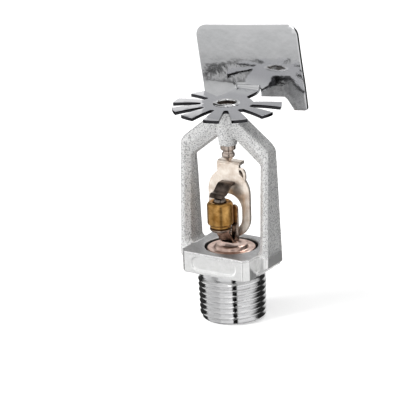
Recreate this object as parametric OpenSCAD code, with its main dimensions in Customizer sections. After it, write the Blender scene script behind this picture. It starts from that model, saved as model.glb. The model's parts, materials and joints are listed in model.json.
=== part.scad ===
// Horizontal sidewall sprinkler head with a fusible-solder trigger.
// Millimetres. +Z runs along the thread axis from the inlet to the deflector, -Y is the side of
// the solder capsule, +Y the side of the canopy, and the origin is the centre of the inlet end.

/* [Pipe thread] */
// Distance between thread crests
thread_pitch = 1.814; // [1.6:0.001:1.9]
// Number of thread crests
thread_crests = 7; // [5:1:7]
// Crest diameter at the inlet end
thread_end_d = 20.72; // [20:0.01:21]
// Depth of the thread
thread_depth = 1.45; // [1:0.05:1.5]
// Diameter growth per millimetre along the thread
thread_taper = 0.0625; // [0:0.0025:0.0625]

/* [Wrench block] */
// Height of the underside of the wrench block
block_bottom = 16.2; // [15.6:0.1:17]
// Height of the wrench block
block_h = 7.1; // [6:0.1:8]
// Distance across the two wrench flats
block_flats = 22; // [21:0.1:22.2]
// Width of the block between the arms' sides
block_len = 24.4; // [24:0.1:25]
// Bevel of the block's upright edges
block_bevel = 1.7; // [1:0.1:2]
// Length of the blank panel in each flat
panel_len = 15; // [8:0.5:16]
// Height of the blank panel
panel_h = 4; // [2:0.1:4.5]
// Depth of the blank panel
panel_depth = 0.4; // [0.2:0.1:0.6]

/* [Waterway] */
// Diameter of the orifice under the cap
orifice_d = 12.7; // [11:0.1:12.8]
// Diameter of the inlet bore
inlet_d = 14.6; // [13.5:0.1:15]
// Length of the inlet bore
inlet_len = 10; // [8:0.5:12]
// Diameter of the recess that holds the cap
seat_d = 16.8; // [16.6:0.1:17.4]
// Depth of the recess below the top of the block
seat_depth = 2.6; // [2.5:0.1:3]

/* [Yoke arms] */
// Distance from the axis to the inner face of an arm
arm_inner = 12.6; // [12.4:0.1:13]
// Distance from the axis to the outer face of an arm
arm_outer = 15.9; // [15.5:0.1:16.5]
// Depth of an arm's outer face at the wrench block
arm_foot_depth = 10.8; // [9:0.1:11]
// Depth of an arm's outer face at the shoulder
arm_top_depth = 6; // [5:0.1:7]
// How much narrower the inner face of an arm is than its outer face
arm_draft = 2.4; // [0:0.1:3]
// Height of the shoulder above the block's top
shoulder_h = 33.8; // [32:0.1:35]
// Height of the window's upper corner above the block's top
window_h = 28.6; // [28:0.1:29.5]
// Slope of the yoke above the shoulder, in degrees
yoke_slope = 38; // [36:1:40]
// Height of the bevelled arm ends below the block's top
foot_drop = 3.1; // [2:0.1:4]

/* [Boss and deflector] */
// Height of the deflector's top face above the block's top
deflector_h = 46.4; // [46:0.1:47]
// Thickness of the deflector sheet
sheet_t = 1; // [0.8:0.1:1.2]
// Radius of the deflector's plain centre
disc_r = 8.3; // [7.5:0.1:9]
// Radius over the ends of the tines
tine_r = 17; // [15:0.1:17.5]
// Width of a tine at its end
tine_tip_w = 5; // [3:0.1:5.4]
// Width of a tine where it leaves the plain centre
tine_root_w = 3.2; // [2:0.1:4]
// Diameter of the boss where the load screw leaves it
boss_d = 5.8; // [5.4:0.1:6.4]
// Diameter of the boss under the deflector
boss_top_d = 8.4; // [8:0.1:9]
// Diameter of the peened rim that holds the deflector
peen_d = 8.8; // [8.2:0.1:9.2]
// Height of the peened rim
peen_h = 0.7; // [0.4:0.1:1]

/* [Canopy] */
// Width of the canopy plate
canopy_w = 37; // [30:0.1:38]
// Height of the canopy plate above the deflector
canopy_h = 20; // [15:0.1:24]
// Distance of the canopy plate behind the axis
canopy_back = 16.3; // [15:0.1:18]
// Corner radius at the top of the canopy
canopy_corner = 3.6; // [2:0.1:5]
// Width of the neck between the deflector and the canopy
neck_w = 8; // [6:0.5:10]
// how far the neck sits towards the left of the disc's middle
neck_x = -2; // [-3:0.5:0]
// Inner radius of the bend between the neck and the canopy
bend_r = 1.6; // [1:0.1:3]
// Length of the two feet below the canopy's lower edge
canopy_foot = 4.3; // [2:0.1:6]
// Angle by which the canopy is set out of square with the arms
canopy_skew = 6.5; // [0:0.5:7]

/* [Trigger] */
// Height of the load screw's tip above the block's top
screw_tip_h = 27.8; // [27.5:0.1:28]
// Width of the strut
strut_w = 15; // [14:0.1:15.2]
// Thickness of the strut
strut_t = 1.2; // [1:0.1:1.4]
// Diameter of the solder capsule
capsule_d = 8.2; // [7:0.1:8.4]
// Height of the capsule's body
capsule_h = 8; // [7:0.1:8.4]
// Distance of the capsule in front of the axis
capsule_front = 5.8; // [5.6:0.1:6.2]
// Diameter of the ball that closes the capsule
ball_d = 4; // [3:0.1:4.4]

/* [Hidden] */
$fn = 96;

chrome = "gainsboro";
cast_chrome = "silver";
nickel = "rosybrown";
dark_nickel = "dimgray";
brass = "goldenrod";
solder = "slategray";
film = "white";

over = 1;                       // how far a cutter runs past what it cuts
side_fn = 32;                   // sides of the circles inside hulls
block_top = block_bottom + block_h;
crest_flat = 0.24;
neck_r = 10.3;
inlet_chamfer = 0.6;
inlet_cone = 2;
first_crest = 1.1;

wall_x = arm_outer - arm_inner;
shoulder_z = block_top + shoulder_h;
window_z = block_top + window_h;
boss_bottom = block_top + 33;
sheet_z = block_top + deflector_h - sheet_t;
foot_z = block_top - foot_drop;
slope_depth = arm_top_depth - 0.6;
boss_join_x = 2.4;
arm_embed = 1.2;                // how far an arm's foot reaches into the block

screw_bore_d = 5;
screw_top = sheet_z - 1.2;
screw_tip_z = block_top + screw_tip_h;
slot_w = 0.9;

seat_z = block_top - seat_depth;
film_t = 0.1;
washer_t = 0.4;
washer_rise = 0.7;
washer_outer_r = 8;
washer_inner_r = 4.7;
seat_gap = 0.06;                // clearance between the sealing stack and the seat

cap_r = 7.7;
cap_hub_r = 5.2;
cap_plug_r = 4.5;
cap_base_z = seat_z + seat_gap + film_t + washer_rise + washer_t;
cap_rim_t = 1;
cap_hub_h = 1.1;
cap_top_z = cap_base_z + cap_rim_t + cap_hub_h;
cap_plug_z = seat_z - 1.4;

play = 0.12;                    // gap between trigger pieces that press on each other
lever_foot_r = 1;
fulcrum_z = cap_top_z + play + lever_foot_r;
lever_foot_w = 4;
lever_w = 5;
strut_foot_z = fulcrum_z + lever_foot_r + play;
strut_head_z = screw_tip_z - play;
strut_bar = 2.3;
strut_low_z = block_top + 10.3;
strut_high_z = block_top + 17.7;
strut_window_w = 9.2;
strut_window_top = block_top + 17.1;
tongue_root_z = block_top + 21;
strut_neck_w = 8;
strut_head_depth = 3.4;
strut_head_t = 1;

lever_t = 0.7;
saucer_t = 0.9;

capsule_z = block_top + 7.4;
capsule_r = capsule_d / 2;
capsule_base_h = 1.4;
capsule_wall = 1.3;
bore_r = ball_d / 2 + 0.15;
ball_z = capsule_z + capsule_h + 0.7;
pellet_gap = 0.15;
tongue_t = 0.9;
tongue_z = ball_z + ball_d / 2 + 0.1;

// ---- shapes shared by several sub-parts -------------------------------------------------

// a block centred on X and Y that starts at a height
module slab(x, y, z_low, h) {
    translate([-x / 2, -y / 2, z_low]) cube([x, y, h]);
}

// a bar with round ends, lying along X in its own plane
module rounded_bar(len, w, t) {
    hull() {
        translate([-(len - w) / 2, 0, 0]) cylinder(d = w, h = t, $fn = side_fn);
        translate([(len - w) / 2, 0, 0]) cylinder(d = w, h = t, $fn = side_fn);
    }
}

// ---- the cast frame ---------------------------------------------------------------------

// radius of the thread crests at a height
function crest_r(z) = (thread_end_d + z * thread_taper) / 2;

// one thread crest: a flat between two flanks that reach down to the root
module thread_crest(z) {
    flank = (thread_pitch - crest_flat) / 2;
    r = crest_r(z);
    rotate_extrude()
        polygon([[inlet_d / 2 + over / 2, z - thread_pitch / 2], [r - thread_depth, z - thread_pitch / 2],
                 [r, z - thread_pitch / 2 + flank], [r, z + thread_pitch / 2 - flank],
                 [r - thread_depth, z + thread_pitch / 2], [inlet_d / 2 + over / 2, z + thread_pitch / 2]]);
}

module thread() {
    last = first_crest + thread_pitch * (thread_crests - 0.5);
    root_r = crest_r(0) - thread_depth;
    cylinder(r1 = root_r - inlet_chamfer, r2 = root_r, h = inlet_chamfer);
    translate([0, 0, inlet_chamfer]) cylinder(r = root_r, h = last - inlet_chamfer);
    for (i = [0 : thread_crests - 1]) thread_crest(first_crest + i * thread_pitch);
    translate([0, 0, last - 0.1]) cylinder(r = neck_r, h = block_bottom - last + 0.2);
}

module wrench_block() {
    x = block_len / 2;
    y = block_flats / 2;
    b = block_bevel;
    difference() {
        translate([0, 0, block_bottom]) linear_extrude(block_h)
            polygon([[-x, -y + b], [-x + b, -y], [x - b, -y], [x, -y + b],
                     [x, y - b], [x - b, y], [-x + b, y], [-x, y - b]]);
        for (side = [0, 180]) rotate([0, 0, side])
            translate([0, -y + panel_depth, block_bottom + block_h / 2])
                rotate([90, 0, 0]) rounded_bar(panel_len, panel_h, panel_depth + over);
    }
}

// flat outline of an arm, seen from above: the outer face is the wider one
module arm_section(depth) {
    polygon([[arm_inner - arm_embed, -(depth - arm_draft) / 2], [arm_inner, -(depth - arm_draft) / 2],
             [arm_outer, -depth / 2], [arm_outer, depth / 2],
             [arm_inner, (depth - arm_draft) / 2], [arm_inner - arm_embed, (depth - arm_draft) / 2]]);
}

module arm_upright() {
    skin = 0.02;
    difference() {
        hull() {
            translate([0, 0, block_bottom]) linear_extrude(skin) arm_section(arm_foot_depth);
            translate([0, 0, shoulder_z - skin]) linear_extrude(skin) arm_section(arm_top_depth);
        }
        // the window side of the arm above the block
        translate([arm_inner - arm_embed - over, -arm_foot_depth / 2, block_top])
            cube([arm_embed + over, arm_foot_depth, shoulder_h + over]);
        // the bevelled lower end
        rotate([90, 0, 0]) linear_extrude(arm_foot_depth + over, center = true)
            polygon([[arm_outer + over, foot_z + over], [arm_outer + over, block_bottom - over],
                     [block_len / 2 - over, block_bottom - over], [block_len / 2, block_bottom]]);
        // the sloping shoulder
        rotate([90, 0, 0]) linear_extrude(arm_foot_depth + over, center = true)
            polygon([[arm_outer + over, shoulder_z - over * tan(yoke_slope)], [arm_outer + over, shoulder_z + 8],
                     [arm_inner - 3 * over, shoulder_z + 8],
                     [arm_inner - 3 * over, shoulder_z + (wall_x + 3 * over) * tan(yoke_slope)]]);
    }
}

// the sloping part of the yoke between a shoulder and the boss
module arm_slope() {
    run_outer = arm_outer - boss_join_x;
    run_inner = arm_inner - boss_join_x;
    rotate([90, 0, 0]) linear_extrude(slope_depth, center = true)
        polygon([[arm_outer, shoulder_z], [boss_join_x, shoulder_z + run_outer * tan(yoke_slope)],
                 [boss_join_x, window_z + run_inner * tan(yoke_slope)], [arm_inner, window_z],
                 [arm_outer, window_z]]);
}

module boss() {
    cone_top = sheet_z - 3;
    translate([0, 0, boss_bottom]) cylinder(d1 = boss_d, d2 = boss_d + 0.8, h = cone_top - boss_bottom);
    translate([0, 0, cone_top]) cylinder(d1 = boss_d + 0.8, d2 = boss_top_d, h = sheet_z - cone_top);
    // the neck through the deflector and the peened rim above it
    translate([0, 0, sheet_z]) cylinder(d = peen_d - 1.6, h = sheet_t);
    translate([0, 0, sheet_z + sheet_t]) cylinder(d1 = peen_d, d2 = peen_d - 0.8, h = peen_h);
}

module frame() {
    color(cast_chrome)
    difference() {
        union() {
            thread();
            wrench_block();
            for (side = [0, 180]) rotate([0, 0, side]) {
                arm_upright();
                arm_slope();
            }
            boss();
        }
        // inlet bore, the cone above it, the orifice and the recess for the cap
        translate([0, 0, -over]) cylinder(d = inlet_d, h = inlet_len + over);
        translate([0, 0, inlet_len]) cylinder(d1 = inlet_d, d2 = orifice_d, h = inlet_cone);
        translate([0, 0, inlet_len + inlet_cone / 2])
            cylinder(d = orifice_d, h = seat_z + over - inlet_len - inlet_cone / 2);
        translate([0, 0, seat_z]) cylinder(d = seat_d, h = seat_depth + over);
        // hole for the load screw
        translate([0, 0, boss_bottom - over]) cylinder(d = screw_bore_d, h = sheet_z - boss_bottom + 2 * over);
        translate([0, 0, sheet_z - 0.2]) cylinder(d = peen_d - 3, h = sheet_t + peen_h + over);
    }
}

// ---- deflector and canopy, one pressed sheet --------------------------------------------

tine_angles = [15, 45, 79, 116];

module tine(angle) {
    root = disc_r - 1.5;
    rotate([0, 0, angle])
        polygon([[-tine_root_w / 2, -root], [-tine_tip_w / 2, -tine_r],
                 [tine_tip_w / 2, -tine_r], [tine_root_w / 2, -root]]);
}

module tined_disc() {
    difference() {
        translate([0, 0, sheet_z]) linear_extrude(sheet_t) {
            circle(r = disc_r);
            for (a = tine_angles) {
                tine(a);
                tine(-a);
            }
        }
        translate([0, 0, sheet_z - over]) cylinder(d = peen_d - 1.6, h = sheet_t + 2 * over);
    }
}

// neck that runs back from the disc and bends up through a right angle
module canopy_neck() {
    bend_y = canopy_back - bend_r;
    translate([neck_x - neck_w / 2, 5, sheet_z]) cube([neck_w, bend_y - 5, sheet_t]);
    translate([neck_x, bend_y, sheet_z + sheet_t + bend_r]) rotate([0, 90, 0])
        linear_extrude(neck_w, center = true)
            intersection() {
                difference() {
                    circle(r = bend_r + sheet_t);
                    circle(r = bend_r);
                }
                square(bend_r + sheet_t + over);
            }
}

module canopy_plate() {
    w = canopy_w / 2;
    r = canopy_corner;
    low = -2.2;
    foot_w = 4.6;
    top = canopy_h + sheet_t;
    translate([0, canopy_back + sheet_t, sheet_z + sheet_t])
        rotate([90, 0, 0]) rotate([0, 0, canopy_skew]) linear_extrude(sheet_t)
            difference() {
                union() {
                    translate([-w, low]) square([2 * w, top - low - r]);
                    translate([-w + r, low]) square([2 * w - 2 * r, top - low]);
                    for (side = [-1, 1]) {
                        translate([side * (w - r), top - r]) circle(r = r);
                        polygon([[side * w, low + 1], [side * w, low - canopy_foot + 0.6],
                                 [side * (w - 0.6), low - canopy_foot], [side * (w - foot_w), low - canopy_foot],
                                 [side * (w - foot_w - 2.4), low], [side * (w - foot_w - 2.4), low + 1]]);
                    }
                }
                // clears the bend, so that the neck alone makes the corner
                translate([neck_x - neck_w / 2, low - over]) square([neck_w, over + bend_r]);
            }
}

module deflector() {
    color(chrome) {
        tined_disc();
        canopy_neck();
        canopy_plate();
    }
}

// ---- load screw --------------------------------------------------------------------------

module load_screw() {
    collar_z = boss_bottom - 1.5;
    color(nickel)
    difference() {
        rotate_extrude()
            polygon([[0, screw_tip_z], [0.9, screw_tip_z], [1.3, screw_tip_z + 0.7], [2.05, screw_tip_z + 1.5],
                     [2.1, screw_tip_z + 2.3], [1.8, screw_tip_z + 3], [1.8, collar_z], [2.4, collar_z + 0.2],
                     [2.4, collar_z + 1.2], [screw_bore_d / 2, boss_bottom], [screw_bore_d / 2, screw_top],
                     [0, screw_top]]);
        slab(slot_w, screw_bore_d + over, screw_top - 1.2, over + 1.2);
    }
}

// ---- strut: the oval plate under the load screw, with its tongue over the ball -----------

module strut_outline() {
    r = strut_w / 2;
    intersection() {
        union() {
            translate([0, strut_low_z]) circle(r = r);
            translate([0, strut_high_z]) circle(r = r);
            translate([-r, strut_low_z]) square([2 * r, strut_high_z - strut_low_z]);
            translate([-strut_neck_w / 2, strut_high_z]) square([strut_neck_w, strut_head_z - strut_high_z]);
        }
        translate([-r, strut_foot_z]) square([2 * r, strut_head_z - strut_foot_z]);
    }
}

module strut_window() {
    r = strut_window_w / 2;
    low = strut_foot_z + strut_bar + r;
    high = strut_window_top - r;
    translate([0, low]) circle(r = r);
    translate([0, high]) circle(r = r);
    translate([-r, low]) square([2 * r, high - low]);
}

// side view of the tongue: it leaves the plate above the window, bends forward and lies on the ball
module strut_tongue() {
    root_z = tongue_root_z;
    bend_y = -strut_t / 2 - 1.4;
    tip_y = -capsule_front - 1.8;
    polygon([[strut_t / 2, root_z + 1], [strut_t / 2, root_z - 0.6], [bend_y, tongue_z],
             [tip_y, tongue_z], [tip_y, tongue_z + tongue_t], [bend_y - 0.3, tongue_z + tongue_t],
             [-strut_t / 2, root_z + 0.4], [-strut_t / 2, root_z + 1]]);
}

module strut() {
    tongue_w = 5.6;
    color(nickel) {
        translate([0, strut_t / 2, 0]) rotate([90, 0, 0]) linear_extrude(strut_t)
            difference() {
                strut_outline();
                strut_window();
            }
        // head under the load screw, folded to the rear
        translate([-strut_neck_w / 2, -strut_t / 2, strut_head_z - strut_head_t])
            cube([strut_neck_w, strut_head_depth, strut_head_t]);
        rotate([90, 0, 90]) linear_extrude(tongue_w, center = true) strut_tongue();
    }
}

// ---- lever: saucer under the capsule, foot on the cap, post behind the capsule -----------

module lever() {
    saucer_z = capsule_z - saucer_t;
    back_y = -2.3;
    post_x = 2.3;
    post_w = 1.6;
    post_top = fulcrum_z + 12.6;
    front_y = -capsule_front - 1.5;
    color(dark_nickel) {
        // round foot that stands on the cap and carries the strut
        translate([-lever_foot_w / 2, 0, fulcrum_z]) rotate([0, 90, 0])
            cylinder(r = lever_foot_r, h = lever_foot_w);
        translate([-lever_foot_w / 2, back_y, fulcrum_z - 0.3])
            cube([lever_foot_w, -back_y, 0.9]);
        // web from the foot to the saucer
        rotate([90, 0, 90]) linear_extrude(lever_w, center = true)
            polygon([[back_y + lever_t, fulcrum_z - 0.3], [back_y + lever_t, saucer_z + saucer_t - 2.4],
                     [-capsule_front, saucer_z + saucer_t / 2], [front_y, saucer_z + saucer_t / 2],
                     [front_y, saucer_z]]);
        translate([0, -capsule_front, saucer_z]) cylinder(r1 = 2.4, r2 = 2.9, h = saucer_t);
        // back plate, and the post that stands up behind the capsule
        translate([-lever_w / 2, back_y, fulcrum_z - 0.3]) cube([lever_w, lever_t, 3.6]);
        translate([post_x, back_y, fulcrum_z + 0.6]) cube([post_w, lever_t, post_top - fulcrum_z - 0.6]);
    }
}

// ---- fusible capsule ---------------------------------------------------------------------

module capsule_cylinder() {
    color(brass)
    translate([0, -capsule_front, capsule_z])
        rotate_extrude()
            polygon([[0, 0], [capsule_r - 1.6, 0], [capsule_r - 0.7, 0.5], [capsule_r - 0.7, capsule_base_h],
                     [capsule_r, capsule_base_h + 0.4], [capsule_r, capsule_h - 0.6],
                     [capsule_r - 0.6, capsule_h], [bore_r, capsule_h],
                     [bore_r, capsule_wall], [0, capsule_wall]]);
}

module capsule_ball() {
    color(dark_nickel) translate([0, -capsule_front, ball_z]) sphere(d = ball_d);
}

module solder_pellet() {
    low = capsule_z + capsule_wall + 0.02;
    high = ball_z - ball_d / 2 - pellet_gap;
    color(solder) translate([0, -capsule_front, low]) cylinder(r = bore_r - 0.02, h = high - low);
}

// ---- sealing stack -----------------------------------------------------------------------

module cap() {
    rim_z = cap_base_z + cap_rim_t;
    color(nickel)
    rotate_extrude()
        polygon([[0, cap_plug_z], [cap_plug_r - 0.5, cap_plug_z], [cap_plug_r, cap_plug_z + 0.5],
                 [cap_plug_r, cap_base_z], [cap_r, cap_base_z], [cap_r, rim_z - 0.3], [cap_r - 0.3, rim_z],
                 [cap_hub_r + 0.5, rim_z], [cap_hub_r, rim_z + 0.6], [cap_hub_r - 0.5, cap_top_z],
                 [0, cap_top_z]]);
}

// dished spring washer; its outer edge stands on the film and its inner edge lifts the cap
module spring_washer() {
    low = seat_z + seat_gap + film_t + 0.01;
    color(dark_nickel)
    rotate_extrude()
        polygon([[washer_outer_r, low], [washer_outer_r, low + washer_t],
                 [washer_inner_r, cap_base_z - 0.01], [washer_inner_r, cap_base_z - 0.01 - washer_t]]);
}

module seal_film() {
    color(film)
    translate([0, 0, seat_z + seat_gap])
        difference() {
            cylinder(r = washer_outer_r, h = film_t);
            translate([0, 0, -over]) cylinder(d = orifice_d + 0.1, h = film_t + 2 * over);
        }
}

frame();
deflector();
load_screw();
strut();
lever();
capsule_cylinder();
capsule_ball();
solder_pellet();
cap();
spring_washer();
seal_film();
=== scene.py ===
# %% [markdown]
# # A sidewall sprinkler head, ready to look at
# Everything below either gives such a part a finish or stands in for it with a mesh that has the
# small forms a casting, a pressing or a turned piece really has.

# %% Load the frame
import json
import math

import bmesh
import bpy
from mathutils import Matrix, Vector, noise


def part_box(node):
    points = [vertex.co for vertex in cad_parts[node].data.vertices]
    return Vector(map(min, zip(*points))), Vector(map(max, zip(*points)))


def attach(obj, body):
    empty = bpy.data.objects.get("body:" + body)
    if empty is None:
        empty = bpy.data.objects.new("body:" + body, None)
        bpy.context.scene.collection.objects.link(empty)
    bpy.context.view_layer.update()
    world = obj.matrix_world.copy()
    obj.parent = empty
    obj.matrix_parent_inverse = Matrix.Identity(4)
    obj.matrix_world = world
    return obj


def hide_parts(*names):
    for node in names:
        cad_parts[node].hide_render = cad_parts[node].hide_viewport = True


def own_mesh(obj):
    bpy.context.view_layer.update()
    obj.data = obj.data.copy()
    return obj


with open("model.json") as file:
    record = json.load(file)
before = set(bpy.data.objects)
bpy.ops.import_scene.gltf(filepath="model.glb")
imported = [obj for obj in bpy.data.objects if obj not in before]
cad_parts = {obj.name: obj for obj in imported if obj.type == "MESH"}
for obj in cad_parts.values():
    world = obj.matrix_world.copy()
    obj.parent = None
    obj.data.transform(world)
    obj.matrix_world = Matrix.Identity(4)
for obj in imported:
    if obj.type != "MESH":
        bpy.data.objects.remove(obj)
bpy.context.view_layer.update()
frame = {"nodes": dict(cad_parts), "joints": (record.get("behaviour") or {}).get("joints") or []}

MM = 0.001

# %% [markdown]
# ## Where things are
# A maker measures a sprinkler head from the top of its wrench block, because the seat, the trigger
# and the yoke all stand on it. The strut's hinge lies 25 mm above that face, so the record gives
# the face's height, and the boxes of the parts give the rest. Pieces are drawn in millimetres.

# %% Heights and sizes from the frame
HINGE_ABOVE_BLOCK = 25.0


def box_mm(node):
    """The lowest and highest corners of a part, in millimetres."""
    low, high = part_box(node)
    return Vector(low) / MM, Vector(high) / MM


hinge = next(j for j in frame["joints"] if j["name"] == "strut_swing")
BLOCK_TOP = hinge["pos_m"][2] / MM - HINGE_ABOVE_BLOCK
frame_low, frame_high = box_mm("frame")
BLOCK_H = 7.1
BLOCK_BOTTOM = BLOCK_TOP - BLOCK_H
ARM_OUTER = frame_high.x
BLOCK_FRONT = frame_high.y
print("block top", round(BLOCK_TOP, 2), "frame", frame_low[:], frame_high[:])

# %% [markdown]
# ## Mesh helpers
# Three ways of making metal cover the whole head. Turned pieces are a profile spun round an axis,
# cut pieces are an outline pushed through a thickness, and the casting is a loft of sections. Each
# helper fills a `bmesh`, which is Blender's editable mesh, and one last step turns it into an
# object in metres that rides on its body.


# %% Turned pieces
def spin(bm, profile, centre=(0.0, 0.0), steps=96):
    """Spins (radius, height) points round an upright axis; a radius of 0 closes the end."""
    rings = []
    for radius, height in profile:
        if radius == 0:
            rings.append([bm.verts.new((centre[0], centre[1], height))])
        else:
            angles = [2 * math.pi * i / steps for i in range(steps)]
            rings.append([bm.verts.new((centre[0] + radius * math.cos(a),
                                        centre[1] + radius * math.sin(a), height)) for a in angles])
    closed = profile[0][0] != 0
    pairs = list(zip(rings, rings[1:] + rings[:1])) if closed else list(zip(rings, rings[1:]))
    for lower, upper in pairs:
        for i in range(steps):
            j = (i + 1) % steps
            corners = [lower[i % len(lower)], lower[j % len(lower)],
                       upper[j % len(upper)], upper[i % len(upper)]]
            corners = list(dict.fromkeys(corners))
            if len(corners) > 2:
                bm.faces.new(corners)


def soften(profile, radius=0.25, cuts=4):
    """Rounds the corners of an open profile with short arcs."""
    points = [Vector(p) for p in profile]
    out = [points[0]]
    for before, corner, after in zip(points, points[1:], points[2:]):
        reach = min(radius, (before - corner).length * 0.45, (after - corner).length * 0.45)
        start = corner + (before - corner).normalized() * reach
        end = corner + (after - corner).normalized() * reach
        for step in range(cuts + 1):
            t = step / cuts
            out.append(start * (1 - t) ** 2 + corner * 2 * t * (1 - t) + end * t ** 2)
    out.append(points[-1])
    return [(max(p.x, 0.0), p.y) for p in out]


# %% Cut pieces and lofts
def arc(cx, cy, radius, start, end, steps=10):
    """Points on a circle from one angle to another, in degrees."""
    angles = [math.radians(start + (end - start) * i / steps) for i in range(steps + 1)]
    return [(cx + radius * math.cos(a), cy + radius * math.sin(a)) for a in angles]


def prism(bm, outline, place, thickness):
    """Pushes an outline through a thickness; place(u, v, w) puts a point in space."""
    near = [bm.verts.new(place(u, v, 0.0)) for u, v in outline]
    far = [bm.verts.new(place(u, v, thickness)) for u, v in outline]
    bm.faces.new(near)
    bm.faces.new(list(reversed(far)))
    for i in range(len(outline)):
        j = (i + 1) % len(outline)
        bm.faces.new([near[j], near[i], far[i], far[j]])


def loft(bm, sections):
    """Joins sections of the same number of points into one closed solid."""
    rows = [[bm.verts.new(p) for p in section] for section in sections]
    for lower, upper in zip(rows, rows[1:]):
        for i in range(len(lower)):
            j = (i + 1) % len(lower)
            bm.faces.new([lower[i], lower[j], upper[j], upper[i]])
    bm.faces.new(list(reversed(rows[0])))
    bm.faces.new(rows[-1])


# %% From mesh to object
def make_object(name, bm, smooth_angle=35):
    """Turns a mesh drawn in millimetres into an object in metres."""
    bmesh.ops.remove_doubles(bm, verts=bm.verts, dist=1e-4)
    bmesh.ops.recalc_face_normals(bm, faces=bm.faces)
    bmesh.ops.scale(bm, vec=(MM, MM, MM), verts=bm.verts)
    mesh = bpy.data.meshes.new(name)
    bm.to_mesh(mesh)
    bm.free()
    piece = bpy.data.objects.new(name, mesh)
    bpy.context.scene.collection.objects.link(piece)
    shade(piece, smooth_angle)
    return piece


def shade(piece, smooth_angle):
    """Smooth shading that breaks where faces meet at more than this angle."""
    piece.data.polygons.foreach_set("use_smooth", [True] * len(piece.data.polygons))
    piece.data.set_sharp_from_angle(angle=math.radians(smooth_angle))


def apply_modifiers(piece):
    """Bakes the modifiers into the mesh, so that what is seen is real geometry."""
    view = bpy.context.evaluated_depsgraph_get()
    mesh = bpy.data.meshes.new_from_object(piece.evaluated_get(view))
    piece.modifiers.clear()
    piece.data = mesh


def round_edges(piece, width, segments=2, angle=35):
    """Rounds the sharp edges by a small width and keeps the result."""
    bevel = piece.modifiers.new("edge", "BEVEL")
    bevel.width = width * MM
    bevel.segments = segments
    bevel.limit_method = "ANGLE"
    bevel.angle_limit = math.radians(angle)
    bevel.harden_normals = False
    apply_modifiers(piece)
    shade(piece, angle)


def fit_out(piece, body, node, material):
    """Gives a piece its body, the part it stands for and its finish."""
    piece.data.materials.clear()
    piece.data.materials.append(material)
    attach(piece, body)
    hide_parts(node)
    print(piece.name, "rides on", body, "with", len(piece.data.polygons), "faces")


# %% [markdown]
# ## Writing finishes as expressions
# A finish is a small sum over textures: grain times a mask, plus scratches. `Wire` wraps one
# output of a shader tree, so that Python's own operators add the Math nodes, and `Nodes.node`
# makes every other kind of node. The settings go in before the sockets, because settings such as
# a ramp's stops or a mix's type change which sockets there are. The room's light uses `Nodes` too.


# %% Wire and Finish
class Wire:
    """One output socket, usable as a number in Python expressions."""

    def __init__(self, finish, socket):
        self.finish = finish
        self.socket = socket

    def math(self, operation, first, second=0.0):
        return self.finish.node("ShaderNodeMath", {"operation": operation}, {0: first, 1: second})

    def __add__(self, other):
        return self.math("ADD", self, other)

    def __radd__(self, other):
        return self.math("ADD", other, self)

    def __sub__(self, other):
        return self.math("SUBTRACT", self, other)

    def __rsub__(self, other):
        return self.math("SUBTRACT", other, self)

    def __mul__(self, other):
        return self.math("MULTIPLY", self, other)

    def __rmul__(self, other):
        return self.math("MULTIPLY", other, self)


class Nodes:
    """A node tree whose nodes are written as expressions."""

    def __init__(self, tree):
        self.tree = tree

    def node(self, kind, settings=None, sockets=None, out=0):
        """Makes a node, applies its settings, then fills or links its sockets."""
        node = self.tree.nodes.new(kind)
        for key, value in (settings or {}).items():
            if key == "stops":
                self.stops(node.color_ramp, value)
            else:
                setattr(node, key, value)
        for key, value in (sockets or {}).items():
            self.fill(node.inputs[key], value)
        return Wire(self, node.outputs[out])

    def stops(self, ramp, stops):
        """Gives a ramp as many stops as the list has, each a grey or a colour."""
        while len(ramp.elements) < len(stops):
            ramp.elements.new(0.5)
        for element, (place, value) in zip(ramp.elements, stops):
            element.position = place
            element.color = (value, value, value, 1.0) if isinstance(value, float) else (*value, 1.0)

    def fill(self, socket, value):
        """Links a wire to a socket, or sets a plain value on it."""
        if isinstance(value, Wire):
            self.tree.links.new(value.socket, socket)
        else:
            socket.default_value = value

    def ramp(self, value, stops):
        return self.node("ShaderNodeValToRGB", {"stops": stops}, {0: value})

    def mix(self, factor, first, second):
        return self.node("ShaderNodeMix", {"data_type": "RGBA"}, {0: factor, 6: first, 7: second},
                         out=2)


class Finish(Nodes):
    """A material whose nodes are written as expressions."""

    def __init__(self, name, roughness=0.3, metallic=1.0, colour=(0.8, 0.8, 0.8)):
        self.material = bpy.data.materials.new(name)
        self.material.use_nodes = True
        super().__init__(self.material.node_tree)
        self.shader = self.tree.nodes["Principled BSDF"]
        self.set("Base Color", (*colour, 1.0))
        self.set("Roughness", roughness)
        self.set("Metallic", metallic)

    def set(self, name, value):
        self.fill(self.shader.inputs[name], value)

    def place(self):
        return self.node("ShaderNodeTexCoord", out=3)

    def stretched(self, x=1.0, y=1.0, z=1.0):
        """The object's own coordinates, stretched along the axes."""
        return self.node("ShaderNodeVectorMath", {"operation": "MULTIPLY"},
                         {0: self.place(), 1: (x, y, z)})

    def height(self):
        """How high a point is, in metres."""
        return self.node("ShaderNodeSeparateXYZ", None, {0: self.place()}, out=2)

    def upward(self):
        """How far the surface faces up: 1 for a level top, 0 for an upright side."""
        normal = self.node("ShaderNodeNewGeometry", out=1)
        return self.node("ShaderNodeSeparateXYZ", None, {0: normal}, out=2)

    def grain(self, size_mm, detail=3.0, rough=0.55, at=None):
        """Noise whose lumps are about this size, from 0 to 1."""
        return self.node("ShaderNodeTexNoise", None,
                         {"Vector": at or self.place(), "Scale": 1.0 / (size_mm * MM),
                          "Detail": detail, "Roughness": rough})

    def bump(self, height, depth_mm, strength=1.0):
        self.set("Normal", self.node("ShaderNodeBump", None,
                                     {"Height": height, "Distance": depth_mm * MM,
                                      "Strength": strength}))


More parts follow.
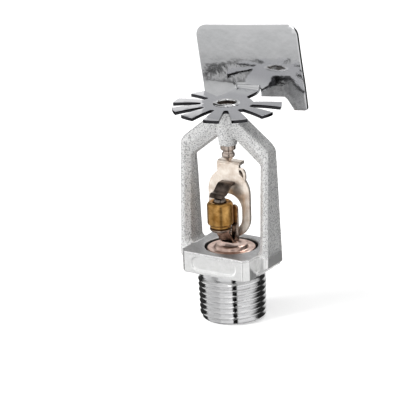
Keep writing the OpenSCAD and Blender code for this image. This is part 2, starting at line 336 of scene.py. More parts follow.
# %% [markdown]
# ## Chrome over a casting
# The frame is cast, tumbled and plated. Plating follows every grain of the mould, so the arms
# sparkle, while the wrench block and the neck are machined before plating and come out bright. One
# finish does both: a mask by height decides how much grain shows, and thin dark films stand in
# for the plating that is dull deep in the pores. The block's top gets painted shade, and the recess
# round the cap a near-black painted shadow.


# %% Plated casting
def plated_casting():
    f = Finish("plated_casting", roughness=0.25, metallic=0.8)
    z = f.height()
    low = (BLOCK_BOTTOM - 0.5) * MM
    high = (BLOCK_TOP + 1.0) * MM
    on_arms = f.ramp((z - low) * (1.0 / (high - low)), [(0.0, 0.12), (0.75, 0.12), (1.0, 1.0)])
    fine = f.grain(0.40, detail=2.0, rough=0.6)
    coarse = f.grain(1.6, detail=3.0)
    pores = f.ramp(fine, [(0.36, 0.0), (0.52, 1.0)])
    tone = f.mix(coarse, (0.80, 0.80, 0.80, 1.0), (0.98, 0.98, 0.97, 1.0))
    plated = f.mix((1.0 - pores) * on_arms * 0.62, tone, (0.20, 0.20, 0.21, 1.0))
    above_block = (z - (BLOCK_TOP - 1.0) * MM) * (0.5 / MM)
    # Painted shade: level faces at the wrench block's top are mixed towards dark grey, for the shade
    # the top shows.
    near_top = f.ramp(above_block, [(0.3, 0.0), (0.42, 1.0), (0.7, 1.0), (0.85, 0.0)])
    top_painted_shade = f.ramp(f.upward(), [(0.6, 0.0), (0.95, 1.0)]) * near_top
    plated = f.mix(top_painted_shade * (0.45 + 0.4 * coarse), plated, (0.26, 0.26, 0.27, 1.0))
    f.set("Base Color", f.mix(seat_shadow(f), plated, (0.02, 0.02, 0.02, 1.0)))
    f.set("Roughness", 0.14 + on_arms * (0.22 + 0.22 * coarse))
    f.set("Metallic", 0.70)
    f.bump((fine + coarse * 0.5) * on_arms, 0.22, 1.0)
    return f.material


def seat_shadow(f):
    """One inside the recess round the cap, where a near-black painted shadow fills the gap, and nought
    outside.
    """
    flat = f.stretched(1.0, 1.0, 0.0)
    radius = f.node("ShaderNodeVectorMath", {"operation": "LENGTH"}, {0: flat}, out=1)
    inside = f.ramp(radius * (1.0 / (10.0 * MM)), [(0.835, 1.0), (0.85, 0.0)])
    below = f.ramp((f.height() - (BLOCK_TOP - 1.0) * MM) * (1.0 / MM), [(0.80, 1.0), (0.92, 0.0)])
    return inside * below


def plated_thread():
    f = Finish("plated_thread", roughness=0.1)
    smear = f.grain(2.5, detail=4.0, at=f.stretched(1.0, 1.0, 3.0))
    fine = f.grain(0.25, detail=2.0, at=f.stretched(0.3, 0.3, 4.0))
    f.set("Base Color", f.mix(smear, (0.74, 0.74, 0.75, 1.0), (0.90, 0.90, 0.90, 1.0)))
    f.set("Roughness", 0.04 + smear * 0.07)
    f.bump(fine, 0.02, 0.35)
    return f.material


def polished_sheet():
    f = Finish("polished_sheet", roughness=0.08)
    cloud = f.grain(7.0, detail=3.0)
    swirl = f.grain(0.35, detail=2.0, at=f.stretched(0.12, 1.0, 1.0))
    plate = f.mix(cloud, (0.70, 0.71, 0.72, 1.0), (0.84, 0.84, 0.85, 1.0))
    upward = f.upward()
    level = f.ramp(upward.math("ABSOLUTE", upward), [(0.25, 0.0), (0.75, 1.0)])
    rearward = f.node("ShaderNodeSeparateXYZ", None, {0: f.place()}, out=1)
    disc = f.ramp(rearward * (1.0 / (20.0 * MM)), [(0.45, 1.0), (0.60, 0.0)])
    # Painted reflection: the disc and tines are mixed darker than the plate, for the dark plate they
    # mirror.
    disc_painted_shade = f.mix(disc, plate, (0.66, 0.66, 0.68, 1.0))
    # Painted shade: the upright edge faces of the disc and tines are mixed near-black.
    f.set("Base Color", f.mix((1.0 - level) * disc, disc_painted_shade, (0.07, 0.07, 0.075, 1.0)))
    f.set("Roughness", 0.04 + cloud * 0.07 + swirl * 0.02)
    f.bump(swirl * 0.03 + cloud, 0.22, 0.4)
    return f.material


# %% [markdown]
# ## Warm metals of the trigger
# The strut and screw are nickel with a rosy cast, the tongue and lever are a darker nickel, the
# capsule is turned brass and the cap is plated copper. Turned pieces carry fine rings from the
# lathe and pressed pieces carry lengthways rolling lines, so each gets a noise squashed that way.
# The darkest nickel also serves as painted shade: a cup in the boss and a sheet behind the ear.


# %% Trigger finishes
def rolled_metal(name, dark, light, roughness, shine=1.0):
    """Sheet metal with soft lines that run up the piece; less shine leaves a milky plating."""
    f = Finish(name, roughness=roughness, metallic=shine)
    lines = f.grain(0.3, detail=3.0, at=f.stretched(1.0, 1.0, 0.15))
    stain = f.grain(3.0, detail=4.0, rough=0.6)
    f.set("Base Color", f.mix(f.ramp(stain, [(0.35, 0.0), (0.65, 1.0)]), dark, light))
    f.set("Roughness", roughness + (stain - 0.5) * 0.12 + lines * 0.08)
    f.bump(lines, 0.03, 0.35)
    return f.material


def turned_metal(name, dark, light, roughness, ring_mm=0.25):
    """Turned metal: rings round the axis and a little tarnish in patches."""
    f = Finish(name, roughness=roughness)
    rings = f.grain(ring_mm, detail=2.0, at=f.stretched(0.05, 0.05, 1.0))
    stain = f.grain(2.2, detail=4.0, rough=0.6)
    f.set("Base Color", f.mix(f.ramp(stain, [(0.35, 0.0), (0.7, 1.0)]), dark, light))
    f.set("Roughness", roughness + stain * 0.1 + rings * 0.08)
    f.bump(rings, 0.025, 0.35)
    return f.material


def soft_film():
    f = Finish("sealing_film", roughness=0.5, metallic=0.0, colour=(0.88, 0.88, 0.86))
    cloud = f.grain(1.5)
    f.set("Roughness", 0.42 + cloud * 0.15)
    f.set("Base Color", f.mix(cloud, (0.80, 0.80, 0.78, 1.0), (0.92, 0.92, 0.90, 1.0)))
    return f.material


CASTING = plated_casting()
THREAD = plated_thread()
SHEET = polished_sheet()
NICKEL = rolled_metal("warm_nickel", (0.66, 0.56, 0.48, 1.0), (0.95, 0.88, 0.80, 1.0), 0.18,
                      shine=0.6)
SCREW_NICKEL = turned_metal("screw_nickel", (0.46, 0.38, 0.33, 1.0), (0.82, 0.72, 0.65, 1.0), 0.18)
# This dark material also stands as painted shade: the cup in the boss's recess and the sheet behind the
# ear.
DARK_NICKEL_AND_SHADE = rolled_metal("dark_nickel", (0.07, 0.055, 0.045, 1.0), (0.26, 0.21, 0.18, 1.0), 0.26)
BRASS = turned_metal("turned_brass", (0.42, 0.22, 0.06, 1.0), (0.78, 0.50, 0.20, 1.0), 0.22)
BALL_STEEL = turned_metal("ball_steel", (0.12, 0.10, 0.09, 1.0), (0.34, 0.30, 0.27, 1.0), 0.14)
ROSY_NICKEL = rolled_metal("rosy_nickel", (0.28, 0.21, 0.17, 1.0), (0.66, 0.56, 0.49, 1.0), 0.20)
COPPER = turned_metal("plated_copper", (0.58, 0.42, 0.36, 1.0), (0.86, 0.70, 0.62, 1.0), 0.22)
SOLDER = turned_metal("solder", (0.38, 0.38, 0.40, 1.0), (0.60, 0.60, 0.62, 1.0), 0.45)
SPRING_STEEL = turned_metal("spring_steel", (0.16, 0.15, 0.15, 1.0), (0.32, 0.31, 0.30, 1.0), 0.30)
FILM = soft_film()
print("finishes:", len(bpy.data.materials))

# %% [markdown]
# ## The cast yoke
# The frame is one casting: a wrench block, two arms that rise, bend in at a shoulder and meet in a
# boss. It could be one careful mesh of quads, but the fillets where arm meets block are awkward
# that way. So each part is a plain closed solid, and a voxel remesh melts them into one skin with
# soft joints, just as molten metal fills the corners of a mould. A last step shifts the skin by a
# few hundredths of a millimetre, which is the grain of the sand.

# %% Sizes of the yoke
SHOULDER = BLOCK_TOP + 33.8
WINDOW = BLOCK_TOP + 28.6
ARM_WALL = 3.3
ARM_INNER = ARM_OUTER - ARM_WALL
FOOT_DEPTH = 10.8
SHOULDER_DEPTH = 6.2
BOSS_DEPTH = 5.2
INNER_DRAFT = 3.2
RIDGE = 0.45
EDGE_FLAT = 0.75
YOKE_SLOPE = math.tan(math.radians(38))
BEVEL_TOP = BLOCK_TOP - 4.0


# %% One arm
def arm_section(side, outer, inner, depth, ridge):
    """Points round an arm: outer face, the flats at its corners, inner face and parting ridge."""
    near = max(depth - INNER_DRAFT, depth * 0.55) / 2
    edge = EDGE_FLAT
    middle_x, middle_z = ((a + b) / 2 for a, b in zip(outer, inner))
    points = [(outer[0] - edge, -depth / 2, outer[1]), (outer[0], edge - depth / 2, outer[1]),
              (outer[0], depth / 2 - edge, outer[1]), (outer[0] - edge, depth / 2, outer[1]),
              (middle_x, depth / 2 - 0.1, middle_z), (inner[0], near, inner[1]),
              (inner[0] - ridge[0], 0.0, inner[1] - ridge[1]),
              (inner[0], -near, inner[1]), (middle_x, 0.1 - depth / 2, middle_z)]
    return [Vector((side * x, side * y, z)) for x, y, z in points]


def depth_at(z):
    """Depth of an upright arm's outer face at a height."""
    t = (z - BLOCK_BOTTOM) / (SHOULDER - BLOCK_BOTTOM)
    return FOOT_DEPTH + (SHOULDER_DEPTH - FOOT_DEPTH) * t


def arm(bm, side):
    """Sections from the block's underside, up the arm, round the shoulder and in to the boss."""
    end_x = 1.2
    buried_x = 11.0
    rise = YOKE_SLOPE
    sections = [arm_section(side, (ARM_INNER - 0.3, BLOCK_BOTTOM), (buried_x, BLOCK_BOTTOM), 9.6,
                            (0, 0)),
                arm_section(side, (ARM_OUTER, BEVEL_TOP), (buried_x, BEVEL_TOP),
                            depth_at(BEVEL_TOP), (0, 0)),
                arm_section(side, (ARM_OUTER, BLOCK_TOP - 0.3), (buried_x, BLOCK_TOP - 0.3),
                            depth_at(BLOCK_TOP), (0, 0))]
    for z in (BLOCK_TOP + 0.1, BLOCK_TOP + 1.2, BLOCK_TOP + 12, BLOCK_TOP + 22):
        fillet = 0.9 if z < BLOCK_TOP + 1 else 0.0
        sections.append(arm_section(side, (ARM_OUTER, z), (ARM_INNER - fillet, z), depth_at(z),
                                    (RIDGE, 0)))
    shoulder = SHOULDER - 1.3
    sections.append(arm_section(side, (ARM_OUTER, shoulder), (ARM_INNER, WINDOW - 0.6),
                                SHOULDER_DEPTH, (RIDGE, 0.1)))
    sections.append(arm_section(side, (ARM_OUTER - 0.35, SHOULDER - 0.35), (ARM_INNER - 0.15, WINDOW),
                                SHOULDER_DEPTH, (RIDGE, RIDGE)))
    sections.append(arm_section(side, (ARM_OUTER - 1.5, SHOULDER + 1.5 * rise - 0.1),
                                (ARM_INNER - 0.9, WINDOW + 0.9 * rise), SHOULDER_DEPTH, (0.2, RIDGE)))
    for share in (0.5, 1.0):
        outer_x = ARM_OUTER + (end_x - ARM_OUTER) * share
        inner_x = ARM_INNER + (end_x - ARM_INNER) * share
        depth = SHOULDER_DEPTH + (BOSS_DEPTH - SHOULDER_DEPTH) * share
        sections.append(arm_section(side, (outer_x, SHOULDER + (ARM_OUTER - outer_x) * rise),
                                    (inner_x, WINDOW + (ARM_INNER - inner_x) * rise), depth,
                                    (0.15, RIDGE)))
    loft(bm, sections)


# %% Block, boss and bores
def block_outline():
    half_x, half_y, bevel = 12.2, BLOCK_FRONT, 1.7
    corners = [(half_x, -half_y + bevel), (half_x, half_y - bevel), (half_x - bevel, half_y)]
    return corners + [(-half_x + bevel, half_y), (-half_x, half_y - bevel), (-half_x, -half_y + bevel),
                      (-half_x + bevel, -half_y), (half_x - bevel, -half_y)]


def pocket(bm, side):
    """The rounded bar that sinks the blank panel into a flat."""
    half, r, middle = 8.1, 2.3, BLOCK_BOTTOM + BLOCK_H / 2
    outline = arc(half - r, middle, r, -90, 90) + arc(-half + r, middle, r, 90, 270)
    floor = BLOCK_FRONT - 0.45
    prism(bm, outline, lambda u, v, w: Vector((u * side, side * (-floor - w), v)), 2.0)


def solid(name, fill):
    """A plain closed solid, filled by a function, for the steps that follow."""
    bm = bmesh.new()
    fill(bm)
    return make_object(name, bm)


def cut(piece, cutter):
    """Subtracts a solid and throws the cutter away."""
    boolean = piece.modifiers.new("cut", "BOOLEAN")
    boolean.operation = "DIFFERENCE"
    boolean.solver = "EXACT"
    boolean.object = cutter
    apply_modifiers(piece)
    bpy.data.objects.remove(cutter)


SEAT = BLOCK_TOP - 2.6
ORIFICE_R = 6.35
block = solid("block", lambda bm: prism(bm, block_outline(),
                                        lambda u, v, w: Vector((u, v, BLOCK_BOTTOM + w)), BLOCK_H))
cut(block, solid("bore", lambda bm: spin(bm, [(0, BLOCK_BOTTOM - 2), (ORIFICE_R, BLOCK_BOTTOM - 2),
                                              (ORIFICE_R, SEAT), (8.4, SEAT), (8.4, BLOCK_TOP + 2),
                                              (0, BLOCK_TOP + 2)])))
for side in (1, -1):
    cut(block, solid("pocket", lambda bm: pocket(bm, side)))
print("block faces:", len(block.data.polygons))

# %% The casting in one skin
VOXEL = 0.22
DISC_UNDER = BLOCK_TOP + 45.4
BOSS_BOTTOM = BLOCK_TOP + 33


def boss(bm):
    outer = [(2.55, BOSS_BOTTOM), (2.85, BOSS_BOTTOM + 0.25), (3.05, BOSS_BOTTOM + 4),
             (3.2, BOSS_BOTTOM + 8), (3.5, BOSS_BOTTOM + 10.2), (4.2, DISC_UNDER)]
    spin(bm, outer + [(2.5, DISC_UNDER)])


def raw_casting(bm):
    for side in (1, -1):
        arm(bm, side)
    boss(bm)
    bm.from_mesh(scaled_copy(block.data))


def scaled_copy(mesh):
    copy = mesh.copy()
    copy.transform(Matrix.Scale(1 / MM, 4))
    return copy


casting = solid("yoke_casting", raw_casting)
bpy.data.objects.remove(block)
remesh = casting.modifiers.new("melt", "REMESH")
remesh.mode = "VOXEL"
remesh.voxel_size = VOXEL * MM
smooth = casting.modifiers.new("soften", "SMOOTH")
smooth.factor = 0.5
smooth.iterations = 2
apply_modifiers(casting)
print("casting faces:", len(casting.data.polygons))

# %% Sand grain on the arms
GRAIN_DEPTH = 0.035


def grain_share(z):
    """How much of the grain shows at a height: none on the machined block, all on the arms."""
    return min(max((z - BLOCK_TOP - 0.5) / 1.5, 0.0), 1.0)


def grainy(point, normal):
    """A point of the skin moved by the grain, and kept inside the part's own box."""
    share = grain_share(point.z)
    if share > 0:
        lump = noise.noise(point * 1.6) + 0.6 * noise.noise(point * 3.7)
        point = point + normal * (lump * GRAIN_DEPTH * share)
    return [min(max(point[axis], frame_low[axis]), frame_high[axis]) * MM for axis in range(3)]


points = [vertex.co / MM for vertex in casting.data.vertices]
normals = [Vector(normal.vector) for normal in casting.data.vertex_normals]
moved = [grainy(point, normal) for point, normal in zip(points, normals)]
casting.data.vertices.foreach_set("co", [value for place in moved for value in place])
casting.data.update()
shade(casting, 60)
fit_out(casting, "frame", "frame", CASTING)

# %% [markdown]
# ## The pipe thread
# A taper pipe thread is a real helix, so it is drawn as one. Going round the pipe, each upright
# column of points holds the same tooth profile, raised by a little of the pitch every step, and
# the last column joins the first one turn higher. Rounded crests and roots come from the profile,
# and the first and last turns fade out as the die's chamfer leaves them.

# %% Helical thread
PITCH = 1.814
TOOTH = 1.3
CREST_AT_END = 10.36
TAPER = 1 / 32
TOOTH_SHAPE = [(0.0, 0.0), (0.06, 0.05), (0.38, 0.95), (0.45, 1.0), (0.55, 1.0), (0.62, 0.95),
               (0.94, 0.05)]
COLUMNS = 120
INLET_R = 7.3
NECK_R = 10.3


def crest(z):
    return CREST_AT_END + z * TAPER


def thread_radius(z, tooth):
    """Radius of the thread at a height, with a chamfer below and a runout above."""
    root = crest(z) - TOOTH
    chamfer = min(1.0, 0.12 + z / 1.1)
    runout = min(max((BLOCK_BOTTOM - 1.5 - z) / 1.8, 0.0), 1.0)
    filled = root + tooth * TOOTH * chamfer
    return filled * runout + NECK_R * (1 - runout) if z > BLOCK_BOTTOM - 3.3 else filled


def pipe_thread(bm):
    top = BLOCK_BOTTOM + 0.25
    turns = int(top / PITCH) + 2
    columns = []
    for i in range(COLUMNS):
        share = i / COLUMNS
        angle = 2 * math.pi * share
        column = []
        for turn in range(-1, turns):
            for along, tooth in TOOTH_SHAPE:
                z = min(max((turn + along + share) * PITCH, 0.0), top)
                r = thread_radius(z, tooth)
                column.append(bm.verts.new((r * math.cos(angle), r * math.sin(angle), z)))
        columns.append(column)
    shift = len(TOOTH_SHAPE)
    for i in range(COLUMNS):
        here, there = columns[i], columns[(i + 1) % COLUMNS]
        offset = shift if i == COLUMNS - 1 else 0
        for k in range(len(here) - 1):
            ahead = [min(k + step + offset, len(there) - 1) for step in (0, 1)]
            corners = list(dict.fromkeys([here[k], there[ahead[0]], there[ahead[1]], here[k + 1]]))
            if len(corners) > 2:
                bm.faces.new(corners)
        for k in range(offset):
            bm.faces.new([here[0], there[k + 1], there[k]])
    bmesh.ops.remove_doubles(bm, verts=bm.verts, dist=1e-4)
    bmesh.ops.dissolve_degenerate(bm, edges=bm.edges, dist=1e-5)


def water_side(bm):
    """The inlet's end face, its bore and the cone up to the orifice."""
    end_r = thread_radius(0.0, 0.0)
    top = BLOCK_BOTTOM + 0.25
    spin_open(bm, [(end_r, 0.0), (INLET_R + 0.25, 0.0), (INLET_R, 0.25), (INLET_R, 10.0),
                   (ORIFICE_R, 12.0), (ORIFICE_R, top), (NECK_R, top)])


def spin_open(bm, profile, steps=COLUMNS):
    """A spun skin whose first and last rings stay open, to be welded to another skin."""
    angles = [2 * math.pi * i / steps for i in range(steps)]
    rings = [[bm.verts.new((r * math.cos(a), r * math.sin(a), z)) for a in angles]
             for r, z in profile]
    for lower, upper in zip(rings, rings[1:]):
        for i in range(steps):
            j = (i + 1) % steps
            bm.faces.new([lower[i], lower[j], upper[j], upper[i]])


bm = bmesh.new()
pipe_thread(bm)
water_side(bm)
bmesh.ops.remove_doubles(bm, verts=bm.verts, dist=1e-3)
open_edges = [e for e in bm.edges if e.is_boundary]
print("thread: open edges", len(open_edges), "faces", len(bm.faces))
thread = make_object("pipe_thread", bm, 50)
fit_out(thread, "frame", "frame", THREAD)


# %% Peened rim
def rim(bm):
    top = DISC_UNDER + 1.0
    outer = [(3.0, top - 2.6), (3.0, top + 0.1), (3.2, top + 0.42), (3.7, top + 0.42),
             (4.15, top + 0.2), (4.25, top + 0.05), (4.1, top - 0.04), (3.55, top - 0.04),
             (3.55, top - 2.6)]
    spin(bm, soften(outer, 0.12, 3))


def socket(bm):
    """The deep end of the boss, where the screw's thread comes through, as a dark cup of painted shade.
    """
    top = DISC_UNDER + 1.0
    profile = [(0, top - 2.3), (0.9, top - 2.3), (1.2, top - 1.7), (2.2, top - 1.7), (2.95, top - 1.2),
               (2.95, top - 0.1), (3.02, top - 0.1), (3.02, top - 2.6), (0, top - 2.6)]
    spin(bm, profile)


peened_rim = solid("peened_rim", rim)
fit_out(peened_rim, "frame", "frame", THREAD)
# Painted shade: a dark cup inside the peened rim makes the recess look shaded.
boss_recess_shade = solid("boss_recess_shade", socket)
fit_out(boss_recess_shade, "frame", "frame", DARK_NICKEL_AND_SHADE)

# %% [markdown]
# ## Deflector and canopy
# One sheet of metal makes both. A press cuts the blank, with eight flared tines, a neck and a wide
# plate with a foot at each lower corner, and a second press folds the neck. The mesh is made the
# same way: flat outlines are cut into strips, the strips are bent or stood up by a formula, and
# only then does the sheet get its thickness. The tines droop a little at their ends.

# %% Flat blanks
CANOPY_HALF = 18.5
SHEET_T = 1.0
SHEET_MID = DISC_UNDER + SHEET_T / 2
DISC_R = 8.3
TINE_R = 17.0
TINE_ANGLES = [15, 45, 79, 116]
TINE_TIP, TINE_ROOT = 5.0, 3.0
NECK_LEFT, NECK_RIGHT = -6.0, 2.0
CANOPY_FACE = 16.8
BEND_R = 2.1
BEND_START = CANOPY_FACE - BEND_R
SKEW = math.radians(6.5)
PLATE_RISE, PLATE_LEAN, PLATE_BOW = 18.5, 0.5, 0.6
HOLE_R = 3.6


def polar(radius, degrees):
    """A point at an angle from the front of the head, positive towards +X."""
    a = math.radians(degrees)
    return (radius * math.sin(a), -radius * math.cos(a))


def tine_side(degrees, half_root, half_tip):
    """The root and the tip corner of one side of a tine."""
    a = math.radians(degrees)
    along = Vector((math.sin(a), -math.cos(a)))
    across = Vector((math.cos(a), math.sin(a)))
    root = math.sqrt(DISC_R ** 2 - half_root ** 2)
    tip = math.sqrt(TINE_R ** 2 - half_tip ** 2)
    return tuple(along * root + across * half_root), tuple(along * tip + across * half_tip)


def blank_outline():
    """The disc's outline with its tines, then the neck that runs back to the bend."""
    outline = []
    angles = [-v for v in reversed(TINE_ANGLES)] + TINE_ANGLES
    for a, following in zip(angles, angles[1:] + [None]):
        root, tip = tine_side(a, -TINE_ROOT / 2, -TINE_TIP / 2)
        outline += [root, tip]
        tip_arc = math.degrees(math.asin(TINE_TIP / 2 / TINE_R))
        outline += [polar(TINE_R, a + turn) for turn in (-tip_arc / 2, 0, tip_arc / 2)]
        root, tip = tine_side(a, TINE_ROOT / 2, TINE_TIP / 2)
        outline += [tip, root]
        if following is not None:
            outline.append(polar(DISC_R - 0.35, (a + following) / 2))
    outline += [polar(DISC_R, 128), polar(DISC_R, 145), polar(DISC_R, 160)]
    right_back, left_back = (math.sqrt(DISC_R ** 2 - x ** 2) for x in (NECK_RIGHT, NECK_LEFT))
    outline += [(NECK_RIGHT + 0.4, right_back + 0.2), (NECK_RIGHT, right_back + 0.8)]
    end = BEND_START + BEND_R * math.pi / 2
    outline += [(NECK_RIGHT, end), (NECK_LEFT, end)]
    return outline + [(NECK_LEFT, left_back + 1.2), (NECK_LEFT - 0.5, left_back + 0.4),
                      polar(DISC_R, -128)]


def slice_flat(bm, low, high, spacing, axis):
    """Cuts a flat mesh into strips along one axis."""
    count = int((high - low) / spacing)
    for i in range(count + 1):
        point, normal = [0.0, 0.0, 0.0], [0.0, 0.0, 0.0]
        point[axis] = low + i * spacing
        normal[axis] = 1.0
        bmesh.ops.bisect_plane(bm, geom=bm.verts[:] + bm.edges[:] + bm.faces[:],
                               plane_co=point, plane_no=normal, dist=1e-5)


TINES_END = 9.9
DROOP = 0.006


def fold(x, s):
    """Where a point of the disc or neck ends up once the neck is bent."""
    if s <= BEND_START:
        reach = max(math.hypot(x, s) - DISC_R, 0.0) if s < TINES_END else 0.0
        droop = DROOP * reach ** 2
        return Vector((x, s, SHEET_MID - droop))
    turn = min((s - BEND_START) / BEND_R, math.pi / 2)
    y = BEND_START + BEND_R * math.sin(turn)
    rise = BEND_R * (1 - math.cos(turn))
    lean = SKEW * turn / (math.pi / 2)
    v = rise - SHEET_T / 2
    return Vector((x * math.cos(lean) - v * math.sin(lean), y,
                   DISC_UNDER + SHEET_T + x * math.sin(lean) + v * math.cos(lean)))


def stand(x, v):
    """Where a point of the canopy plate ends up: upright, skewed and slightly bowed to the front."""
    height = max(v - BEND_R, 0.0)
    start = 1 - math.exp(-((height / 4.0) ** 2))
    share = min(height / PLATE_RISE, 1.0)
    lean = PLATE_LEAN * (1 - (1 - share) ** 2)
    bow = PLATE_BOW * start * (1 - (x / CANOPY_HALF) ** 2)
    y = CANOPY_FACE - lean - bow
    return Vector((x * math.cos(SKEW) - v * math.sin(SKEW), y,
                   DISC_UNDER + SHEET_T + x * math.sin(SKEW) + v * math.cos(SKEW)))


# %% Canopy outline
CANOPY_TOP = 20.9
CANOPY_LOW = -2.2
FOOT_BOTTOM = CANOPY_LOW - 4.3


def canopy_outline():
    """The plate seen from the front, anticlockwise from the foot of its right side."""
    w, r, join = CANOPY_HALF, 3.6, BEND_R - SHEET_T / 2
    right = [(w - 4.6, FOOT_BOTTOM), (w - 0.8, FOOT_BOTTOM)]
    right += arc(w - 0.8, FOOT_BOTTOM + 0.8, 0.8, -90, 0, 3)[1:]
    top = arc(w - r, CANOPY_TOP - r, r, 0, 90, 8) + arc(-w + r, CANOPY_TOP - r, r, 90, 180, 8)
    left = arc(-w + 0.8, FOOT_BOTTOM + 0.8, 0.8, 180, 270, 3)[:-1] + [(-w + 0.8, FOOT_BOTTOM),
                                                                     (-w + 4.6, FOOT_BOTTOM)]
    gap = 0.4
    left_notch = [(-w + 6.6, CANOPY_LOW - 0.9), (-w + 7.6, CANOPY_LOW), (NECK_LEFT - gap, CANOPY_LOW),
                  (NECK_LEFT - gap, join - 0.2), (NECK_LEFT, join)]
    right_notch = [(NECK_RIGHT, join), (NECK_RIGHT + gap, join - 0.2), (NECK_RIGHT + gap, CANOPY_LOW),
                   (w - 7.6, CANOPY_LOW), (w - 6.6, CANOPY_LOW - 0.9)]
    return right + top + left + left_notch + right_notch


def deflector_skin(bm):
    """Folds the blank, stands the plate up and welds the two along the bend."""
    bm.faces.new([bm.verts.new((x, y, 0.0)) for x, y in blank_outline()])
    slice_flat(bm, -18.0, 18.0, 1.5, 0)
    slice_flat(bm, -18.0, 13.5, 1.5, 1)
    slice_flat(bm, BEND_START, BEND_START + BEND_R * math.pi / 2, BEND_R * math.pi / 16, 1)
    for vertex in bm.verts:
        vertex.co = fold(vertex.co.x, vertex.co.y)
    plate = bmesh.new()
    plate.faces.new([plate.verts.new((x, v, 0.0)) for x, v in canopy_outline()])
    slice_flat(plate, -18.0, 18.0, 1.5, 0)
    slice_flat(plate, -6.0, 21.0, 1.5, 1)
    for vertex in plate.verts:
        vertex.co = stand(vertex.co.x, vertex.co.y)
    holder = bpy.data.meshes.new("plate")
    plate.to_mesh(holder)
    plate.free()
    bm.from_mesh(holder)
    bmesh.ops.remove_doubles(bm, verts=bm.verts, dist=0.02)


deflector = solid("deflector_sheet", deflector_skin)
cut_hole = solid("hole", lambda bm: spin(bm, [(0, DISC_UNDER - 2), (HOLE_R, DISC_UNDER - 2),
                                              (HOLE_R, DISC_UNDER + 3), (0, DISC_UNDER + 3)], steps=64))
thicken = deflector.modifiers.new("sheet", "SOLIDIFY")
thicken.thickness = SHEET_T * MM * 0.98
thicken.offset = 0.0
thicken.use_even_offset = True
apply_modifiers(deflector)
cut(deflector, cut_hole)
round_edges(deflector, 0.14, 2, 40)
fit_out(deflector, "frame", "deflector", SHEET)

# %% [markdown]
# ## Load screw, strut and lever
# The screw is turned, with a collar, a waist and a rounded nose. The strut is a pressed oval plate
# with a window; its head is folded back under the screw, and a tongue leaves the plate above the
# window and bends forward to bear on the ball. The lever is a darker pressing: a round foot, a
# saucer for the capsule and a post that stands behind it.

# %% Load screw
TIP = BLOCK_TOP + 27.8


def load_screw(bm):
    collar = BOSS_BOTTOM - 1.5
    profile = [(0, TIP), (0.75, TIP + 0.05), (1.25, TIP + 0.75), (1.95, TIP + 1.5), (2.08, TIP + 2.0),
               (1.95, TIP + 2.6), (1.6, TIP + 2.95), (1.6, collar - 0.2), (2.4, collar + 0.15),
               (2.4, collar + 1.15), (2.45, BOSS_BOTTOM + 0.2), (2.45, BLOCK_TOP + 42.5),
               (0, BLOCK_TOP + 42.5)]
    spin(bm, soften(profile, 0.3, 4), steps=64)


screw = solid("load_screw_turned", load_screw)
fit_out(screw, "frame", "load_screw", SCREW_NICKEL)

# %% Strut
strut_low, strut_high = box_mm("strut")
STRUT_T = 1.2
STRUT_R = 7.5
STRUT_FOOT = strut_low.z
STRUT_HEAD = strut_high.z
LOW_CENTRE = BLOCK_TOP + 10.3
HIGH_CENTRE = BLOCK_TOP + 17.7
WINDOW_R = 4.6
WINDOW_TOP = BLOCK_TOP + 17.1
TONGUE_ROOT = BLOCK_TOP + 20.9
HEAD_HALF = 4.0


def strut_outline():
    start = -math.degrees(math.acos((STRUT_FOOT - LOW_CENTRE) / STRUT_R)) + 90
    lower = arc(0, LOW_CENTRE, STRUT_R, start, 0, 14)
    neck = math.degrees(math.acos(HEAD_HALF / STRUT_R))
    upper = arc(0, HIGH_CENTRE, STRUT_R, 0, neck, 12)
    right = lower + upper + [(HEAD_HALF, STRUT_HEAD - 0.6)]
    return right + [(-x, z) for x, z in reversed(right)]


def strut_hole():
    low, high = STRUT_FOOT + 2.3 + WINDOW_R, WINDOW_TOP - WINDOW_R
    return arc(0, low, WINDOW_R, 180, 360, 20) + arc(0, high, WINDOW_R, 0, 180, 20)


def flat_plate(u, v, w):
    return Vector((u, -STRUT_T / 2 + w, v))


strut = solid("strut_plate", lambda bm: prism(bm, strut_outline(), flat_plate, STRUT_T))
cut(strut, solid("window", lambda bm: prism(bm, strut_hole(),
                                            lambda u, v, w: Vector((u, -3 + w, v)), 6.0)))
round_edges(strut, 0.28, 3, 50)
fit_out(strut, "strut", "strut", NICKEL)


# %% Ear
def ear_strip(bm):
    """A narrow loop at the right of the head, left when the blank was cut."""
    outer = [(3.6, 2.9), (4.9, 2.9), (5.9, 2.0), (6.25, 0.4), (6.05, -1.2), (5.4, -2.2)]
    inner = [(4.7, -1.9), (5.25, -0.9), (5.4, 0.4), (5.1, 1.5), (4.5, 2.1), (3.6, 2.2)]
    outline = soften(outer, 0.8, 4) + soften(inner, 0.8, 4)
    prism(bm, outline, lambda u, v, w: Vector((u, -0.45 + w, BLOCK_TOP + 23.2 + v)), 0.9)


# Painted shade: a dark sheet behind the ear's loop, so its gap looks shaded rather than showing the
# backdrop.
def ear_shade_backing(bm):
    outline = soften([(3.5, 2.4), (4.6, 2.3), (5.5, 1.4), (5.7, 0.0), (5.2, -1.6), (3.9, -1.6)], 0.6, 3)
    prism(bm, outline, lambda u, v, w: Vector((u, 0.5 + w, BLOCK_TOP + 23.2 + v)), 0.5)


ear = solid("strut_ear", ear_strip)
round_edges(ear, 0.18, 2, 50)
fit_out(ear, "strut", "strut", NICKEL)
ear_shade_sheet = solid("strut_ear_web", ear_shade_backing)
fit_out(ear_shade_sheet, "strut", "strut", DARK_NICKEL_AND_SHADE)

# %% Head fold and tongue
def ribbon(path, thickness):
    """The side outline of a bent strip that follows a path of (y, z) points."""
    points = [Vector(p) for p in path]
    left, right = [], []
    for i, p in enumerate(points):
        ahead = points[min(i + 1, len(points) - 1)] - points[max(i - 1, 0)]
        across = Vector((-ahead.y, ahead.x)).normalized() * thickness / 2
        left.append(tuple(p + across))
        right.append(tuple(p - across))
    return left + list(reversed(right))


